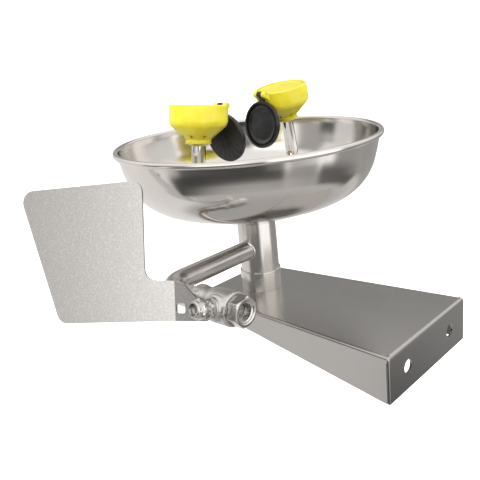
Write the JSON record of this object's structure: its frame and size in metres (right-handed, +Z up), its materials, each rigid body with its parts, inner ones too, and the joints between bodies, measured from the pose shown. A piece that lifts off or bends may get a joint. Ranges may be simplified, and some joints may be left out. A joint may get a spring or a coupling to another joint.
{
  "type": "wall-mounted eyewash station",
  "caption": "Wall-mounted emergency eyewash: steel bowl on a drain column and bracket, flip-cap spray heads, ball valve with a push flag.",
  "frame": {"origin": "middle of the two wall holes, on the bracket's wall face", "axes": "+Y into the wall, +Z up, +X to the user's right when facing the wall, where the valve and its push flag are"},
  "size_m": [0.3587, 0.344, 0.2603],
  "materials": {
    "bracket_sheet": "satin 2B sheet",
    "polished_steel": "polished",
    "column_steel": "satin polished tube",
    "flag_sheet": "mill finish, fine mottle",
    "cast_steel": "bead-blasted casting",
    "turned_steel": "machined",
    "chromed_tube": "bright chrome",
    "yellow_plastic": "moulded, slight gloss",
    "black_rubber": "moulded, satin",
    "white_seal": "PTFE",
    "gasket_rubber": "flat",
    "screen_steel": "perforated disc"
  },
  "bodies": {
    "stand": {"wall_bracket": "bracket_sheet", "column_sleeve": "column_steel", "drain_column": "column_steel", "column_lock_nut": "turned_steel", "supply_riser": "column_steel", "supply_pipe": "column_steel", "pipe_collar": "column_steel", "bowl": "polished_steel", "drain_gasket": "gasket_rubber", "drain_strainer": "screen_steel", "supply_tee": "chromed_tube", "valve_body": "cast_steel", "valve_end_cap": "cast_steel", "inlet_seat_ring": "white_seal", "outlet_seat_ring": "white_seal", "stem_packing": "white_seal", "gland_nut": "turned_steel", "right_head_arm": "chromed_tube", "right_head_cup": "yellow_plastic", "right_flow_screen": "screen_steel", "right_spray_plate": "yellow_plastic", "right_hinge_pin": "turned_steel", "left_head_arm": "chromed_tube", "left_head_cup": "yellow_plastic", "left_flow_screen": "screen_steel", "left_spray_plate": "yellow_plastic", "left_hinge_pin": "turned_steel"},
    "flag": {"push_flag": "flag_sheet", "lock_washer": "turned_steel", "flag_lock_nut": "turned_steel", "valve_stem": "turned_steel", "valve_ball": "turned_steel"},
    "right_cap": {"right_dust_cap": "black_rubber"},
    "left_cap": {"left_dust_cap": "black_rubber"}
  },
  "joints": [
    {"name": "flag_turn", "type": "hinge", "parent": "stand", "child": "flag", "pos_m": [0.1395, -0.119, 0.0695], "axis": [0.9511, 0, 0.309], "range_deg": [0, 90]},
    {"name": "right_cap_hinge", "type": "hinge", "parent": "stand", "child": "right_cap", "pos_m": [0.03099, -0.2065, 0.22554], "axis": [0, 1, 0], "range_deg": [0, 254.2]},
    {"name": "left_cap_hinge", "type": "hinge", "parent": "stand", "child": "left_cap", "pos_m": [-0.03109, -0.20899, 0.22856], "axis": [-0.0775, -0.9969, 0.0123], "range_deg": [0, 254.23]}
  ]
}
